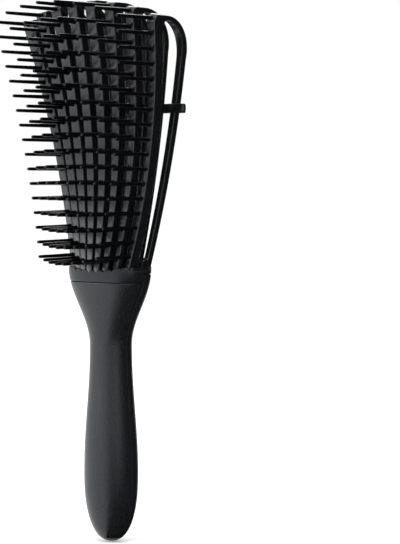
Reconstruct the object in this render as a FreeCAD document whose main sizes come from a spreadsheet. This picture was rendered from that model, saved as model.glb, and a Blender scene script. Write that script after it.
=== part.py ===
# A detangling brush: a head of eight flexible claws on a two-shell handle.
# The brush stands upright, +Z along the handle, and its pins point to -Y.
# Heights in the sheet are measured up from the butt of the handle.
import FreeCAD, Part
import math
import os

Vector = FreeCAD.Vector
doc = FreeCAD.newDocument("DetanglingBrush")

sizes = {
    # The whole brush and the handle's outline
    "overall_length": 240,
    "grip_height": 58,
    "bulge_height": 31,
    "bulge_width": 26,
    "bulge_depth": 21.5,
    "waist_drop": 34.6,
    "waist_width": 20,
    "waist_depth": 17,
    "root_height": 122.6,
    "root_width": 40.6,
    "root_depth": 21.5,
    "root_forward": 2.25,
    "butt_flat_height": 0.2,
    "least_section_spacing": 1.5,
    "butt_roundness": 2.35,
    "root_front_roundness": 2.2,
    "root_back_roundness": 4.2,
    # The two shells, the panel on the back and what holds them
    "shell_wall": 2.8,
    "shell_parting": -1,
    "front_seam_drop": 6.2,
    "back_seam_drop": 2.6,
    "seam_gap": 0.2,
    "cavity_bottom": 7,
    "spigot_length": 23.6,
    "spigot_clearance": 0.1,
    "panel_top_margin": 1.4,
    "panel_bottom_height": 3,
    "panel_top_width": 25.4,
    "panel_waist_width": 11.8,
    "panel_bulge_width": 19.6,
    "panel_thickness": 1.4,
    "panel_groove": 0.25,
    "panel_sink": 0.15,
    "screw_shank_diameter": 2.5,
    "screw_head_diameter": 5,
    "screw_head_height": 1.8,
    "screw_head_sink": 0.6,
    "screw_head_clearance": 0.2,
    "screw_tip_wall": 2.4,
    "boss_diameter": 6.4,
    "low_screw_height": 36,
    "high_screw_drop": 17.6,
    # The fan of claws
    "hinge_drop": 1.9,
    "fan_angle": 11.2,
    "twist_angle": 10,
    "claw_root_margin": 4,
    "top_drop": 7.5,
    "front_sag": 5,
    "front_root_reach": 12.6,
    "front_middle_reach": 11,
    "front_top_reach": 21,
    "back_root_reach": 5.4,
    "back_middle_reach": 8.2,
    "back_shoulder_reach": 7,
    "shoulder_drop": 18.5,
    "arch_fullness": 0.55,
    "claw_foot_gap": 0.45,
    "foot_skin": 2.2,
    "foot_back_reach": 2.2,
    "bead_diameter": 2,
    "bead_clearance": 0.15,
    "neck_width": 1.1,
    "neck_clearance": 0.25,
    "scallop_diameter": 1.4,
    "scallop_rise": 0.2,
    "window_rise": 3.9,
    "window_corner": 1.7,
    "strip_root_width": 2.8,
    "strip_top_width": 5.4,
    "strip_thickness": 4.6,
    "strip_crown": 2.6,
    "strip_head_length": 8,
    "leg_root_width": 2.2,
    "leg_top_width": 3.5,
    "leg_thickness": 3,
    "arch_thickness": 2.2,
    "dot_drop": 22,
    "dot_diameter": 1.4,
    "dot_depth": 1,
    # The pins
    "pin_length": 22.5,
    "pin_base_diameter": 1.9,
    "pin_tip_diameter": 1.5,
    "pin_shank_depth": 1.6,
    "lowest_pin_rise": 2.8,
    "outer_pin_rise": 2.4,
    "highest_pin_drop": 1.9,
    # The spacer band across the legs
    "band_drop": 47,
    "band_tall": 4.2,
    "band_web_thickness": 2.4,
    "eyelet_width": 7.3,
    "eyelet_side_clearance": 1.3,
    "eyelet_seat_clearance": 0.3,
    "eyelet_back_wall": 2.2,
    "eyelet_front_wall": 1,
}
claw_count = 8
pins_per_claw = 17
dotted_claws = (2, 7)
section_points = 28
butt_sections = 6
shaft_sections = 4
flare_sections = 5

sheet = doc.addObject("Spreadsheet::Sheet", "Sizes")
for row, (alias, value) in enumerate(sizes.items(), start=1):
    sheet.set(f"A{row}", alias)
    sheet.set(f"B{row}", str(value))
    sheet.setAlias(f"B{row}", alias)
doc.recompute()


def size(alias):
    return float(sheet.get(alias))


def up(height):
    return height - size("grip_height")


root_height = size("root_height")
waist_height = root_height - size("waist_drop")
front_seam = root_height - size("front_seam_drop")
back_seam = root_height - size("back_seam_drop")
panel_top = back_seam - size("panel_top_margin")
hinge_height = root_height - size("hinge_drop")
claw_root_span = size("root_width") - 2 * size("claw_root_margin")
window_bottom = root_height + size("window_rise")
band_height = size("overall_length") - size("band_drop")
dot_height = size("overall_length") - size("dot_drop")
far = 2 * size("root_depth")


def ease(start, end, share):
    return start + (end - start) * (1 - math.cos(math.pi * share)) / 2


pieces = []


def add_piece(label, shape, placement=FreeCAD.Placement()):
    piece = doc.addObject("Part::Feature", label)
    piece.Label = label
    piece.Shape = shape
    piece.Placement = placement
    pieces.append(piece)


# The handle and the base of the head share one outline, lofted through rounded sections
def outline_half(height, bulge, waist, root):
    bulge_height = size("bulge_height")
    if height < bulge_height:
        power = size("butt_roundness")
        share = (bulge_height - height) / bulge_height
        return bulge * (1 - share**power) ** (1 / power)
    if height < waist_height:
        return ease(bulge, waist, (height - bulge_height) / (waist_height - bulge_height))
    return ease(waist, root, (height - waist_height) / size("waist_drop"))


def section_half_width(height):
    return outline_half(height, size("bulge_width") / 2, size("waist_width") / 2, size("root_width") / 2)


def section_half_depth(height):
    return outline_half(height, size("bulge_depth") / 2, size("waist_depth") / 2, size("root_depth") / 2)


def root_share(height):
    return min(1, max(0, (height - waist_height) / size("waist_drop")))


def section_centre(height):
    return ease(0, -size("root_forward"), root_share(height))


def section_point(height, inset, turn):
    across = math.cos(turn)
    along = math.sin(turn)
    end = "root_front_roundness" if along < 0 else "root_back_roundness"
    power = 2 / ease(2, size(end), root_share(height))
    x = (section_half_width(height) - inset) * math.copysign(abs(across) ** power, across)
    y = (section_half_depth(height) - inset) * math.copysign(abs(along) ** power, along)
    return Vector(x, section_centre(height) + y, up(height))


def section_wire(height, inset):
    curve = Part.BSplineCurve()
    turns = [2 * math.pi * (i + 0.5) / section_points for i in range(section_points)]
    curve.interpolate([section_point(height, inset, turn) for turn in turns], PeriodicFlag=True)
    return Part.Wire(curve.toShape())


def outline_heights(low, high):
    bulge_height = size("bulge_height")
    butt = [bulge_height * (i / butt_sections) ** 2 for i in range(1, butt_sections)]
    shaft_length = waist_height - bulge_height
    shaft = [bulge_height + shaft_length * i / shaft_sections for i in range(shaft_sections + 1)]
    flare = [ease(waist_height, root_height, i / flare_sections) for i in range(1, flare_sections + 1)]
    spacing = size("least_section_spacing")
    inside = [height for height in butt + shaft + flare if low + spacing < height < high - spacing]
    return [low] + inside + [high]


def outline_body(low, high, inset=0):
    return Part.makeLoft([section_wire(height, inset) for height in outline_heights(low, high)], True)


def slab(low, high, front, back):
    reach = 2 * size("root_width")
    return Part.makeBox(2 * reach, back - front, high - low, Vector(-reach, front, up(low)))


body_outline = outline_body(size("butt_flat_height"), root_height)
cavity = outline_body(size("cavity_bottom"), root_height, size("shell_wall"))


# The panel on the back follows the handle's outline within its own edge
def panel_half(height):
    bulge_height = size("bulge_height")
    bottom = size("panel_bottom_height")
    bulge, waist, top = (size(f"panel_{place}_width") / 2 for place in ("bulge", "waist", "top"))
    if height < bulge_height:
        power = size("butt_roundness")
        share = (bulge_height - height) / (bulge_height - bottom)
        return bulge * max(0, 1 - share**power) ** (1 / power)
    if height < waist_height:
        return ease(bulge, waist, (height - bulge_height) / (waist_height - bulge_height))
    return ease(waist, top, (height - waist_height) / (panel_top - waist_height))


def panel_prism(grow):
    bulge_height = size("bulge_height")
    bottom = size("panel_bottom_height")
    low = [bottom + (bulge_height - bottom) * (i / butt_sections) ** 2 for i in range(butt_sections)]
    spans = shaft_sections + flare_sections
    high = [bulge_height + (panel_top - bulge_height) * i / spans for i in range(spans + 1)]
    heights = low + high
    right = [Vector(panel_half(height) + grow, 0, up(height)) for height in heights[1:]]
    tip = Vector(0, 0, up(bottom) - grow)
    right[-1].z += grow
    left = [Vector(-point.x, 0, point.z) for point in reversed(right)]
    side = Part.BSplineCurve()
    side.interpolate(left + [tip] + right)
    edge = Part.LineSegment(right[-1], left[0])
    face = Part.Face(Part.Wire([side.toShape(), edge.toShape()]))
    return face.extrude(Vector(0, far, 0))


panel_depth = size("panel_sink") + size("panel_thickness")
under_panel = outline_body(size("butt_flat_height"), root_height, panel_depth)
panel_recess = panel_prism(size("panel_groove")).cut(under_panel)
panel_outside = outline_body(size("butt_flat_height"), root_height, size("panel_sink"))
panel_shape = panel_prism(0).common(panel_outside).cut(under_panel)


# Two screws hold the shells together, one of them through the spigots of the head
def screw_seat(height):
    back = section_centre(height) + section_half_depth(height)
    return back - panel_depth - size("screw_head_sink") - size("screw_head_height")


def screw_tip(height):
    return section_centre(height) - section_half_depth(height) + size("screw_tip_wall")


def rod(diameter, height, start, end):
    return Part.makeCylinder(diameter / 2, end - start, Vector(0, start, up(height)), Vector(0, 1, 0))


screw_heights = [size("low_screw_height"), root_height - size("high_screw_drop")]
screw_holes = [rod(size("screw_shank_diameter"), height, screw_tip(height), far) for height in screw_heights]
well_diameter = size("screw_head_diameter") + 2 * size("screw_head_clearance")
head_wells = [rod(well_diameter, height, screw_seat(height), far) for height in screw_heights]
screw_room = Part.makeCompound([hole.fuse(well) for hole, well in zip(screw_holes, head_wells)])
low_boss = rod(size("boss_diameter"), size("low_screw_height"), -far, far).common(body_outline)


# Each claw is drawn in its own frame: Y along its hinge, Z up the claw, the hinge at the origin
class Claw:
    def __init__(self, number):
        self.number = number
        self.side = (2 * number - claw_count - 1) / (claw_count - 1)
        self.fan = self.side * size("fan_angle")
        self.twist = -self.side * size("twist_angle")
        self.lift = 1 / math.cos(math.radians(self.fan))
        self.top = self.along(size("overall_length") - size("top_drop") * self.side**2)
        self.foot = self.along(root_height + size("claw_foot_gap"))
        self.sill = self.along(window_bottom)
        self.shoulder = self.top - size("shoulder_drop")
        self.under = self.top - size("arch_thickness")
        self.joint = self.front(self.top) + size("strip_head_length")
        self.parting = (self.rear(self.sill) + self.inside(self.sill)) / 2
        self.foot_front = self.front(self.foot) + size("foot_skin")

    def along(self, height):
        return (height - hinge_height) * self.lift

    def placement(self):
        base = Vector(self.side * claw_root_span / 2, 0, up(hinge_height))
        fan = FreeCAD.Rotation(Vector(0, 1, 0), self.fan)
        twist = FreeCAD.Rotation(Vector(0, 0, 1), self.twist)
        return FreeCAD.Placement(base, fan.multiply(twist))

    def front(self, along):
        root = -size("front_root_reach")
        top = -size("front_top_reach")
        share = (along - self.foot) / (self.top - self.foot)
        bow = -size("front_middle_reach") - (root + top) / 2
        sag = size("front_sag") * self.side**2
        return root + (top - root) * share + 4 * bow * share * (1 - share) + sag

    def rear(self, along):
        return self.front(along) + size("strip_thickness")

    def back(self, along):
        root = size("back_root_reach")
        shoulder = size("back_shoulder_reach")
        share = (along - self.foot) / (self.shoulder - self.foot)
        bow = size("back_middle_reach") - (root + shoulder) / 2
        return root + (shoulder - root) * share + 4 * bow * share * (1 - share)

    def inside(self, along):
        return self.back(along) - size("leg_thickness")


claws = [Claw(number) for number in range(1, claw_count + 1)]


def point(y, z):
    return Vector(0, y, z)


def line(start, end):
    return Part.LineSegment(start, end).toShape()


def arc(start, middle, end):
    return Part.Arc(start, middle, end).toShape()


def corner(start, end, centre):
    radius = (start - centre).Length
    middle = centre + ((start + end) * 0.5 - centre).normalize() * radius
    return arc(start, middle, end)


def curved_edge(edge, start, end):
    # An arc through the start, the middle and the end of one of a claw's edges
    places = [point(edge(along), along) for along in (start, (start + end) / 2, end)]
    return arc(*places)


def shoulder_curve(start, end):
    # The arch leaves its head level and comes down the back of the claw
    level = Vector(0, size("arch_fullness") * (end.y - start.y), 0)
    plumb = Vector(0, 0, size("arch_fullness") * (start.z - end.z))
    curve = Part.BezierCurve()
    curve.setPoles([start, start + level, end + plumb, end])
    return curve.toShape()


def profile_solid(edges):
    reach = size("strip_top_width")
    face = Part.Face(Part.Wire(edges))
    return face.extrude(Vector(2 * reach, 0, 0)).translated(Vector(-reach, 0, 0))


def wedge(claw, root_width, top_width):
    # A claw widens from its foot to its top
    over = claw.top + size("strip_crown")
    over_half = (root_width + (top_width - root_width) * over / claw.top) / 2
    root_half = root_width / 2
    corners = [(-root_half, 0), (root_half, 0), (over_half, over), (-over_half, over)]
    flat = [Vector(x, -far, z) for x, z in corners]
    return Part.Face(Part.makePolygon(flat + flat[:1])).extrude(Vector(0, 2 * far, 0))


def bead(front, back, grow=0):
    return Part.makeCylinder(size("bead_diameter") / 2 + grow, back - front, point(front, 0), Vector(0, 1, 0))


def neck(front, back, top, grow=0):
    half = size("neck_width") / 2 + grow
    return Part.makeBox(2 * half, back - front, top, Vector(-half, front, 0))


def root_of(claw, front, back):
    return bead(front, back).fuse(neck(front, back, claw.foot + size("neck_width")))


def strip_solid(claw):
    turn = size("window_corner")
    crown = size("strip_crown")
    crown_start = point(claw.front(claw.top - crown), claw.top - crown)
    crown_end = point(crown_start.y + crown, claw.top)
    inner = claw.joint - claw.rear(claw.under)
    bend_start = point(claw.joint, claw.under)
    bend_end = point(claw.rear(claw.under - inner), claw.under - inner)
    bend_centre = point(claw.joint, bend_end.z)
    sill_start = point(claw.rear(claw.sill + turn), claw.sill + turn)
    sill_end = point(sill_start.y + turn, claw.sill)
    foot = point(claw.front(claw.foot), claw.foot)
    edges = [
        curved_edge(claw.front, foot.z, crown_start.z),
        corner(crown_start, crown_end, point(crown_end.y, crown_start.z)),
        line(crown_end, point(claw.joint, claw.top)),
        line(point(claw.joint, claw.top), bend_start),
        corner(bend_start, bend_end, bend_centre),
        curved_edge(claw.rear, bend_end.z, sill_start.z),
        corner(sill_start, sill_end, point(sill_end.y, sill_start.z)),
        line(sill_end, point(claw.parting, claw.sill)),
        line(point(claw.parting, claw.sill), point(claw.parting, claw.foot)),
        line(point(claw.parting, claw.foot), foot),
    ]
    bar = profile_solid(edges).common(wedge(claw, size("strip_root_width"), size("strip_top_width")))
    return bar.fuse(root_of(claw, claw.foot_front, claw.parting)).removeSplitter()


def leg_solid(claw):
    turn = size("window_corner")
    sill_start = point(claw.inside(claw.sill + turn), claw.sill + turn)
    sill_end = point(sill_start.y - turn, claw.sill)
    shoulder_inside = point(claw.inside(claw.shoulder), claw.shoulder)
    shoulder_back = point(claw.back(claw.shoulder), claw.shoulder)
    edges = [
        line(point(claw.parting, claw.foot), point(claw.parting, claw.sill)),
        line(point(claw.parting, claw.sill), sill_end),
        corner(sill_end, sill_start, point(sill_end.y, sill_start.z)),
        curved_edge(claw.inside, sill_start.z, claw.shoulder),
        shoulder_curve(point(claw.joint, claw.under), shoulder_inside),
        line(point(claw.joint, claw.under), point(claw.joint, claw.top)),
        shoulder_curve(point(claw.joint, claw.top), shoulder_back),
        curved_edge(claw.back, claw.shoulder, claw.foot),
        line(point(claw.back(claw.foot), claw.foot), point(claw.parting, claw.foot)),
    ]
    bar = profile_solid(edges).common(wedge(claw, size("leg_root_width"), size("leg_top_width")))
    bar = bar.fuse(root_of(claw, claw.parting, size("foot_back_reach")))
    if claw.number in dotted_claws:
        dot = claw.along(dot_height)
        start = point(leg_back_at(claw, dot) - size("dot_depth"), dot)
        bar = bar.cut(Part.makeCylinder(size("dot_diameter") / 2, far, start, Vector(0, 1, 0)))
    return bar.removeSplitter()


def leg_back_at(claw, along):
    # Above the shoulder the back of the leg leans forward on its arch
    if along <= claw.shoulder:
        return claw.back(along)
    curve = shoulder_curve(point(claw.joint, claw.top), point(claw.back(claw.shoulder), claw.shoulder))
    level = Part.makePlane(2, 4 * far, Vector(-1, -2 * far, along))
    return curve.section(level).Vertexes[0].Point.y


# The base of the head holds the claws' beads in channels, and its spigots fill the top of the handle
def claw_channel(claw):
    front = claw.foot_front - size("claw_foot_gap")
    back = size("foot_back_reach") + size("claw_foot_gap")
    slit = neck(front, back, claw.top, size("neck_clearance"))
    tunnel = bead(front, back, size("bead_clearance"))
    return slit.fuse(tunnel).transformed(claw.placement().toMatrix())


def scallop(left, right):
    middle = (left.side + right.side) / 2
    reach = claw_root_span / 2 + claws[0].foot * math.tan(math.radians(size("fan_angle")))
    turn = FreeCAD.Rotation(Vector(0, 0, 1), -middle * size("twist_angle"))
    axis = turn.multVec(Vector(0, 1, 0))
    start = Vector(middle * reach, 0, up(root_height) + size("scallop_rise")) - axis * far
    return Part.makeCylinder(size("scallop_diameter") / 2, 2 * far, start, axis)


channels = [claw_channel(claw) for claw in claws]
scallops = [scallop(left, right) for left, right in zip(claws, claws[1:])]
claw_room = Part.makeCompound(channels + scallops)
spigot_inset = size("shell_wall") + size("spigot_clearance")
spigot = outline_body(root_height - size("spigot_length"), root_height, spigot_inset)


def base_half(seam, front, back):
    block = body_outline.common(slab(seam + size("seam_gap"), size("overall_length"), front, back))
    tongue = spigot.common(slab(0, seam + size("seam_gap") + size("claw_foot_gap"), front, back))
    return block.fuse(tongue).cut(claw_room).cut(screw_room).removeSplitter()


add_piece("head_front_base", base_half(front_seam, -far, size("shell_parting")))
add_piece("head_back_base", base_half(back_seam, size("shell_parting"), far))

# The shells of the handle are hollow, with a boss for the low screw
front_half = slab(0, front_seam, -far, size("shell_parting"))
back_half = slab(0, back_seam, size("shell_parting"), far)
front_shell = body_outline.common(front_half).cut(cavity)
front_shell = front_shell.fuse(low_boss.common(front_half)).cut(screw_room)
back_shell = body_outline.common(back_half).cut(cavity)
back_shell = back_shell.fuse(low_boss.common(back_half)).cut(panel_recess)
back_shell = back_shell.cut(screw_room).cut(Part.makeCompound(channels))
add_piece("handle_front_shell", front_shell.removeSplitter())
add_piece("handle_back_shell", back_shell.removeSplitter())
add_piece("back_panel", panel_shape.removeSplitter())

screws = []
for number, height in enumerate(screw_heights, start=1):
    shank = doc.addObject("Part::Cylinder", f"ScrewShank{number}")
    shank.setExpression("Radius", "Sizes.screw_shank_diameter / 2")
    shank.Height = screw_seat(height) - screw_tip(height)
    head = doc.addObject("Part::Cylinder", f"ScrewHead{number}")
    head.setExpression("Radius", "Sizes.screw_head_diameter / 2")
    head.setExpression("Height", "Sizes.screw_head_height")
    head.Placement.Base = Vector(0, 0, screw_seat(height) - screw_tip(height))
    screw = doc.addObject("Part::Fuse", f"Screw{number}")
    screw.Base = shank
    screw.Tool = head
    axis = FreeCAD.Rotation(Vector(1, 0, 0), -90)
    screw.Placement = FreeCAD.Placement(Vector(0, screw_tip(height), up(height)), axis)
    screws.append(screw)
screw_set = doc.addObject("Part::Compound", "handle_screws")
screw_set.Links = screws
pieces.append(screw_set)

# One pin, a shank in the strip with a tapered shaft and a round tip, is copied along every strip
shank = doc.addObject("Part::Cylinder", "PinShank")
shank.setExpression("Radius", "Sizes.pin_base_diameter / 2")
shank.setExpression("Height", "Sizes.pin_shank_depth")
shank.setExpression("Placement.Base.z", "-Sizes.pin_shank_depth")
shaft = doc.addObject("Part::Cone", "PinShaft")
shaft.setExpression("Radius1", "Sizes.pin_base_diameter / 2")
shaft.setExpression("Radius2", "Sizes.pin_tip_diameter / 2")
shaft.setExpression("Height", "Sizes.pin_length - Sizes.pin_tip_diameter / 2")
tip = doc.addObject("Part::Sphere", "PinTip")
tip.setExpression("Radius", "Sizes.pin_tip_diameter / 2")
tip.setExpression("Placement.Base.z", "Sizes.pin_length - Sizes.pin_tip_diameter / 2")
pin = doc.addObject("Part::MultiFuse", "Pin")
pin.Shapes = [shank, shaft, tip]
hole = doc.addObject("Part::Cylinder", "PinHole")
hole.setExpression("Radius", "Sizes.pin_base_diameter / 2")
hole.setExpression("Height", "2 * Sizes.pin_shank_depth")
hole.setExpression("Placement.Base.z", "-Sizes.pin_shank_depth")
doc.recompute()


def pin_places(claw):
    first = claw.along(root_height + size("lowest_pin_rise") + size("outer_pin_rise") * claw.side**2)
    last = claw.top - size("highest_pin_drop")
    pitch = (last - first) / (pins_per_claw - 1)
    forward = FreeCAD.Rotation(Vector(0, 0, 1), -claw.twist).multiply(FreeCAD.Rotation(Vector(1, 0, 0), 90))
    heights = [first + pitch * i for i in range(pins_per_claw)]
    return [FreeCAD.Placement(point(claw.front(along), along), forward).toMatrix() for along in heights]


for claw in claws:
    places = pin_places(claw)
    holes = Part.makeCompound([hole.Shape.transformed(place) for place in places])
    pins = Part.makeCompound([pin.Shape.transformed(place) for place in places])
    add_piece(f"claw_{claw.number}_strip", strip_solid(claw).cut(holes), claw.placement())
    add_piece(f"claw_{claw.number}_pins", pins, claw.placement())
    add_piece(f"claw_{claw.number}_leg", leg_solid(claw), claw.placement())


# The spacer band has one closed eyelet for each leg, joined by short webs
def band_box(name, sizes_of_box, placement):
    box = doc.addObject("Part::Box", name)
    for side, expression in zip(("Length", "Width", "Height"), sizes_of_box):
        box.setExpression(side, expression)
    box.Placement = placement
    return box


def band_point(claw):
    level = claw.along(band_height)
    return claw.placement().multVec(point(claw.back(level), level))


tall = size("band_tall")
seat = size("eyelet_seat_clearance")
seat_depth = "Sizes.leg_thickness + 2 * Sizes.eyelet_seat_clearance"
eyelet_depth = f"{seat_depth} + Sizes.eyelet_front_wall + Sizes.eyelet_back_wall"
eyelet_sizes = ("Sizes.eyelet_width", eyelet_depth, "Sizes.band_tall")
solids = []
passages = []
for claw in claws:
    level = claw.along(band_height)
    share = level / claw.top
    leg_width = f"Sizes.leg_root_width + (Sizes.leg_top_width - Sizes.leg_root_width) * {share}"
    passage_sizes = (f"{leg_width} + 2 * Sizes.eyelet_side_clearance", seat_depth, "3 * Sizes.band_tall")
    leg_half = (size("leg_root_width") + (size("leg_top_width") - size("leg_root_width")) * share) / 2
    front = claw.inside(level) - seat
    eyelet_start = Vector(-size("eyelet_width") / 2, front - size("eyelet_front_wall"), level - tall / 2)
    passage_start = Vector(-leg_half - size("eyelet_side_clearance"), front, level - 1.5 * tall)
    for name, group, box_sizes, start in (
        ("Eyelet", solids, eyelet_sizes, eyelet_start),
        ("Passage", passages, passage_sizes, passage_start),
    ):
        place = claw.placement().multiply(FreeCAD.Placement(start, FreeCAD.Rotation()))
        group.append(band_box(f"{name}{claw.number}", box_sizes, place))
for left, right in zip(claws, claws[1:]):
    start = band_point(left)
    run = band_point(right) - start
    turn = FreeCAD.Rotation(Vector(0, 0, 1), math.degrees(math.atan2(run.y, run.x)))
    offset = turn.multVec(Vector(0, -size("band_web_thickness"), -tall / 2))
    web_sizes = (f"{run.Length} mm", "Sizes.band_web_thickness", "Sizes.band_tall")
    solids.append(band_box(f"Web{left.number}", web_sizes, FreeCAD.Placement(start + offset, turn)))
band_solid = doc.addObject("Part::MultiFuse", "BandSolid")
band_solid.Shapes = solids
band_passages = doc.addObject("Part::Compound", "BandPassages")
band_passages.Links = passages
band = doc.addObject("Part::Cut", "spacer_band")
band.Base = band_solid
band.Tool = band_passages
band.Refine = True
pieces.append(band)

doc.recompute()
for item in doc.Objects:
    if "Invalid" in item.State or "Error" in item.State:
        raise RuntimeError(f"{item.Label} failed to build: {item.State}")
for piece in pieces:
    if piece.Shape.isNull() or not piece.Shape.isValid():
        raise RuntimeError(f"{piece.Label} has no valid shape")

os.makedirs("parts", exist_ok=True)
for piece in pieces:
    piece.Shape.exportStep(f"parts/{piece.Label}.step")
    print(piece.Label, len(piece.Shape.Solids), round(piece.Shape.Volume, 1))
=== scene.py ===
import bpy
import bmesh
import numpy as np
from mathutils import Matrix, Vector


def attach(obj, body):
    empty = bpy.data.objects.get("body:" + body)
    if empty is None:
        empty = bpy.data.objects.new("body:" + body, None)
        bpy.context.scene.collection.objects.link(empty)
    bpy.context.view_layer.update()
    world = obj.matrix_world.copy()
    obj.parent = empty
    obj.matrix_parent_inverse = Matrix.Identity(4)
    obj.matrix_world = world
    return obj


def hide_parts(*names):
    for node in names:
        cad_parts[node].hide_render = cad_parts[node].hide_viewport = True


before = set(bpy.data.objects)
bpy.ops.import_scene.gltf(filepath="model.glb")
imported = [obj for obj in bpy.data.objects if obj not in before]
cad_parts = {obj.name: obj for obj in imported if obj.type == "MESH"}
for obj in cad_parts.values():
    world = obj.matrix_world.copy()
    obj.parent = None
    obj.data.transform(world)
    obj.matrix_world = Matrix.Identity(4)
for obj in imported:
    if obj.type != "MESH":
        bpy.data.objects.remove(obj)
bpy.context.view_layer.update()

scene = bpy.context.scene
mm = 0.001
print("frame:", len(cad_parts), "nodes")

# Heights are millimetres above the butt, as in the part; the frame's origin is gripHeight up the handle
brush = {"length": 240.0, "gripHeight": 58.0, "rootHeight": 122.6, "clawCount": 8, "pinsPerClaw": 17}


# Half a cosine wave from one value to the other as share goes from 0 to 1
def ease(start, end, share):
    return start + (end - start) * (1 - np.cos(np.pi * np.clip(share, 0, 1))) / 2


# Rows by columns of points become quads; closed joins the last column to the first
def gridFaces(rows, cols, closed, first=0):
    r, c = np.meshgrid(np.arange(rows - 1), np.arange(cols if closed else cols - 1), indexing="ij")
    near = r * cols + c
    far = r * cols + (c + 1) % cols
    return (first + np.stack([near, far, far + cols, near + cols], -1)).reshape(-1, 4).tolist()


# Grids of points in millimetres become one mesh; each grid is a closed tube whose two ends are capped
def tubeMesh(name, grids, sharpAngle=38, edges=None):
    points = []
    faces = []
    for grid in grids:
        rows, cols = grid.shape[:2]
        first = sum(len(part) for part in points)
        faces += gridFaces(rows, cols, True, first)
        faces.append(list(range(first, first + cols)))
        faces.append(list(range(first + (rows - 1) * cols, first + rows * cols)))
        points.append(grid.reshape(-1, 3))
    flat = np.concatenate(points)
    place = flat * mm - np.array([0, 0, brush["gripHeight"] * mm])
    mesh = bpy.data.meshes.new(name)
    mesh.from_pydata(place.tolist(), [], faces)
    work = bmesh.new()
    work.from_mesh(mesh)
    bmesh.ops.recalc_face_normals(work, faces=work.faces)
    work.to_mesh(mesh)
    work.free()
    mesh.polygons.foreach_set("use_smooth", np.ones(len(mesh.polygons), bool))
    mesh.set_sharp_from_angle(angle=np.radians(sharpAngle))
    # Rounded edges carry the edge attribute, where the materials paint a highlight
    if edges is not None:
        layer = mesh.attributes.new("edge", "FLOAT", "POINT")
        layer.data.foreach_set("value", np.concatenate([part.reshape(-1) for part in edges]).astype(np.float32))
    mesh.update()
    return mesh


def addPiece(name, mesh, material, body, slotName, *nodes):
    piece = bpy.data.objects.new(name, mesh)
    scene.collection.objects.link(piece)
    mesh.materials.append(material)
    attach(piece, body)
    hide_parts(*nodes)
    return piece


# Three coordinates of any matching shapes become one array of points
def stack(x, y, z):
    return np.stack(np.broadcast_arrays(x, y, z), -1)


# Moulded surface: two noises, a coarse one for uneven gloss and a fine one for the grain's height
def mouldedGroup():
    group = bpy.data.node_groups.new("mouldedSkin", "ShaderNodeTree")
    for name, kind in (("Colour", "NodeSocketColor"), ("Sheen And Speckle Colour", "NodeSocketColor")):
        group.interface.new_socket(name, in_out="INPUT", socket_type=kind)
    for name, value in (("Grain Scale", 900.0), ("Patch Scale", 60.0), ("Gloss Low", 0.3), ("Gloss High", 0.4),
                        ("Sheen Strength", 0.3), ("Speckle", 0.3)):
        group.interface.new_socket(name, in_out="INPUT", socket_type="NodeSocketFloat").default_value = value
    group.interface.new_socket("Colour", in_out="OUTPUT", socket_type="NodeSocketColor")
    group.interface.new_socket("Roughness", in_out="OUTPUT", socket_type="NodeSocketFloat")
    group.interface.new_socket("Height", in_out="OUTPUT", socket_type="NodeSocketFloat")
    nodes, links = group.nodes, group.links
    given = nodes.new("NodeGroupInput")
    made = nodes.new("NodeGroupOutput")
    place = nodes.new("ShaderNodeTexCoord")
    grain = nodes.new("ShaderNodeTexNoise")
    grain.inputs["Detail"].default_value = 3
    patch = nodes.new("ShaderNodeTexNoise")
    patch.inputs["Detail"].default_value = 4
    for noise, scale in ((grain, "Grain Scale"), (patch, "Patch Scale")):
        links.new(place.outputs["Object"], noise.inputs["Vector"])
        links.new(given.outputs[scale], noise.inputs["Scale"])
    gloss = nodes.new("ShaderNodeMapRange")
    links.new(patch.outputs["Fac"], gloss.inputs["Value"])
    gloss.inputs["From Min"].default_value = 0.3
    gloss.inputs["From Max"].default_value = 0.7
    links.new(given.outputs["Gloss Low"], gloss.inputs["To Min"])
    links.new(given.outputs["Gloss High"], gloss.inputs["To Max"])
    links.new(gloss.outputs["Result"], made.inputs["Roughness"])
    # The edge attribute is 1 on rounded edges; a painted highlight shows there in patches, a paler colour standing in
    # for the light that rounded edges catch
    edge = nodes.new("ShaderNodeAttribute")
    edge.attribute_name = "edge"
    paintedSheen = nodes.new("ShaderNodeMath")
    paintedSheen.operation = "MULTIPLY"
    links.new(edge.outputs["Fac"], paintedSheen.inputs[0])
    links.new(patch.outputs["Fac"], paintedSheen.inputs[1])
    amount = nodes.new("ShaderNodeMath")
    amount.operation = "MULTIPLY"
    amount.use_clamp = True
    links.new(paintedSheen.outputs[0], amount.inputs[0])
    links.new(given.outputs["Sheen Strength"], amount.inputs[1])
    # Peaks of the grain are a little paler than the rest
    peak = nodes.new("ShaderNodeMapRange")
    links.new(grain.outputs["Fac"], peak.inputs["Value"])
    peak.inputs["From Min"].default_value = 0.45
    peak.inputs["From Max"].default_value = 0.7
    links.new(given.outputs["Speckle"], peak.inputs["To Max"])
    # The painted edge highlight and the grain's speckle add up to how far the colour goes to the paler one
    paler = nodes.new("ShaderNodeMath")
    paler.use_clamp = True
    links.new(amount.outputs[0], paler.inputs[0])
    links.new(peak.outputs["Result"], paler.inputs[1])
    tint = nodes.new("ShaderNodeMix")
    tint.data_type = "RGBA"
    links.new(paler.outputs[0], tint.inputs["Factor"])
    links.new(given.outputs["Colour"], tint.inputs["A"])
    links.new(given.outputs["Sheen And Speckle Colour"], tint.inputs["B"])
    links.new(tint.outputs["Result"], made.inputs["Colour"])
    links.new(grain.outputs["Fac"], made.inputs["Height"])
    return group


mouldedSkin = mouldedGroup()
coolTint = (0.88, 0.94, 1, 1)  # reflections in the black plastics are faintly blue


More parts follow.
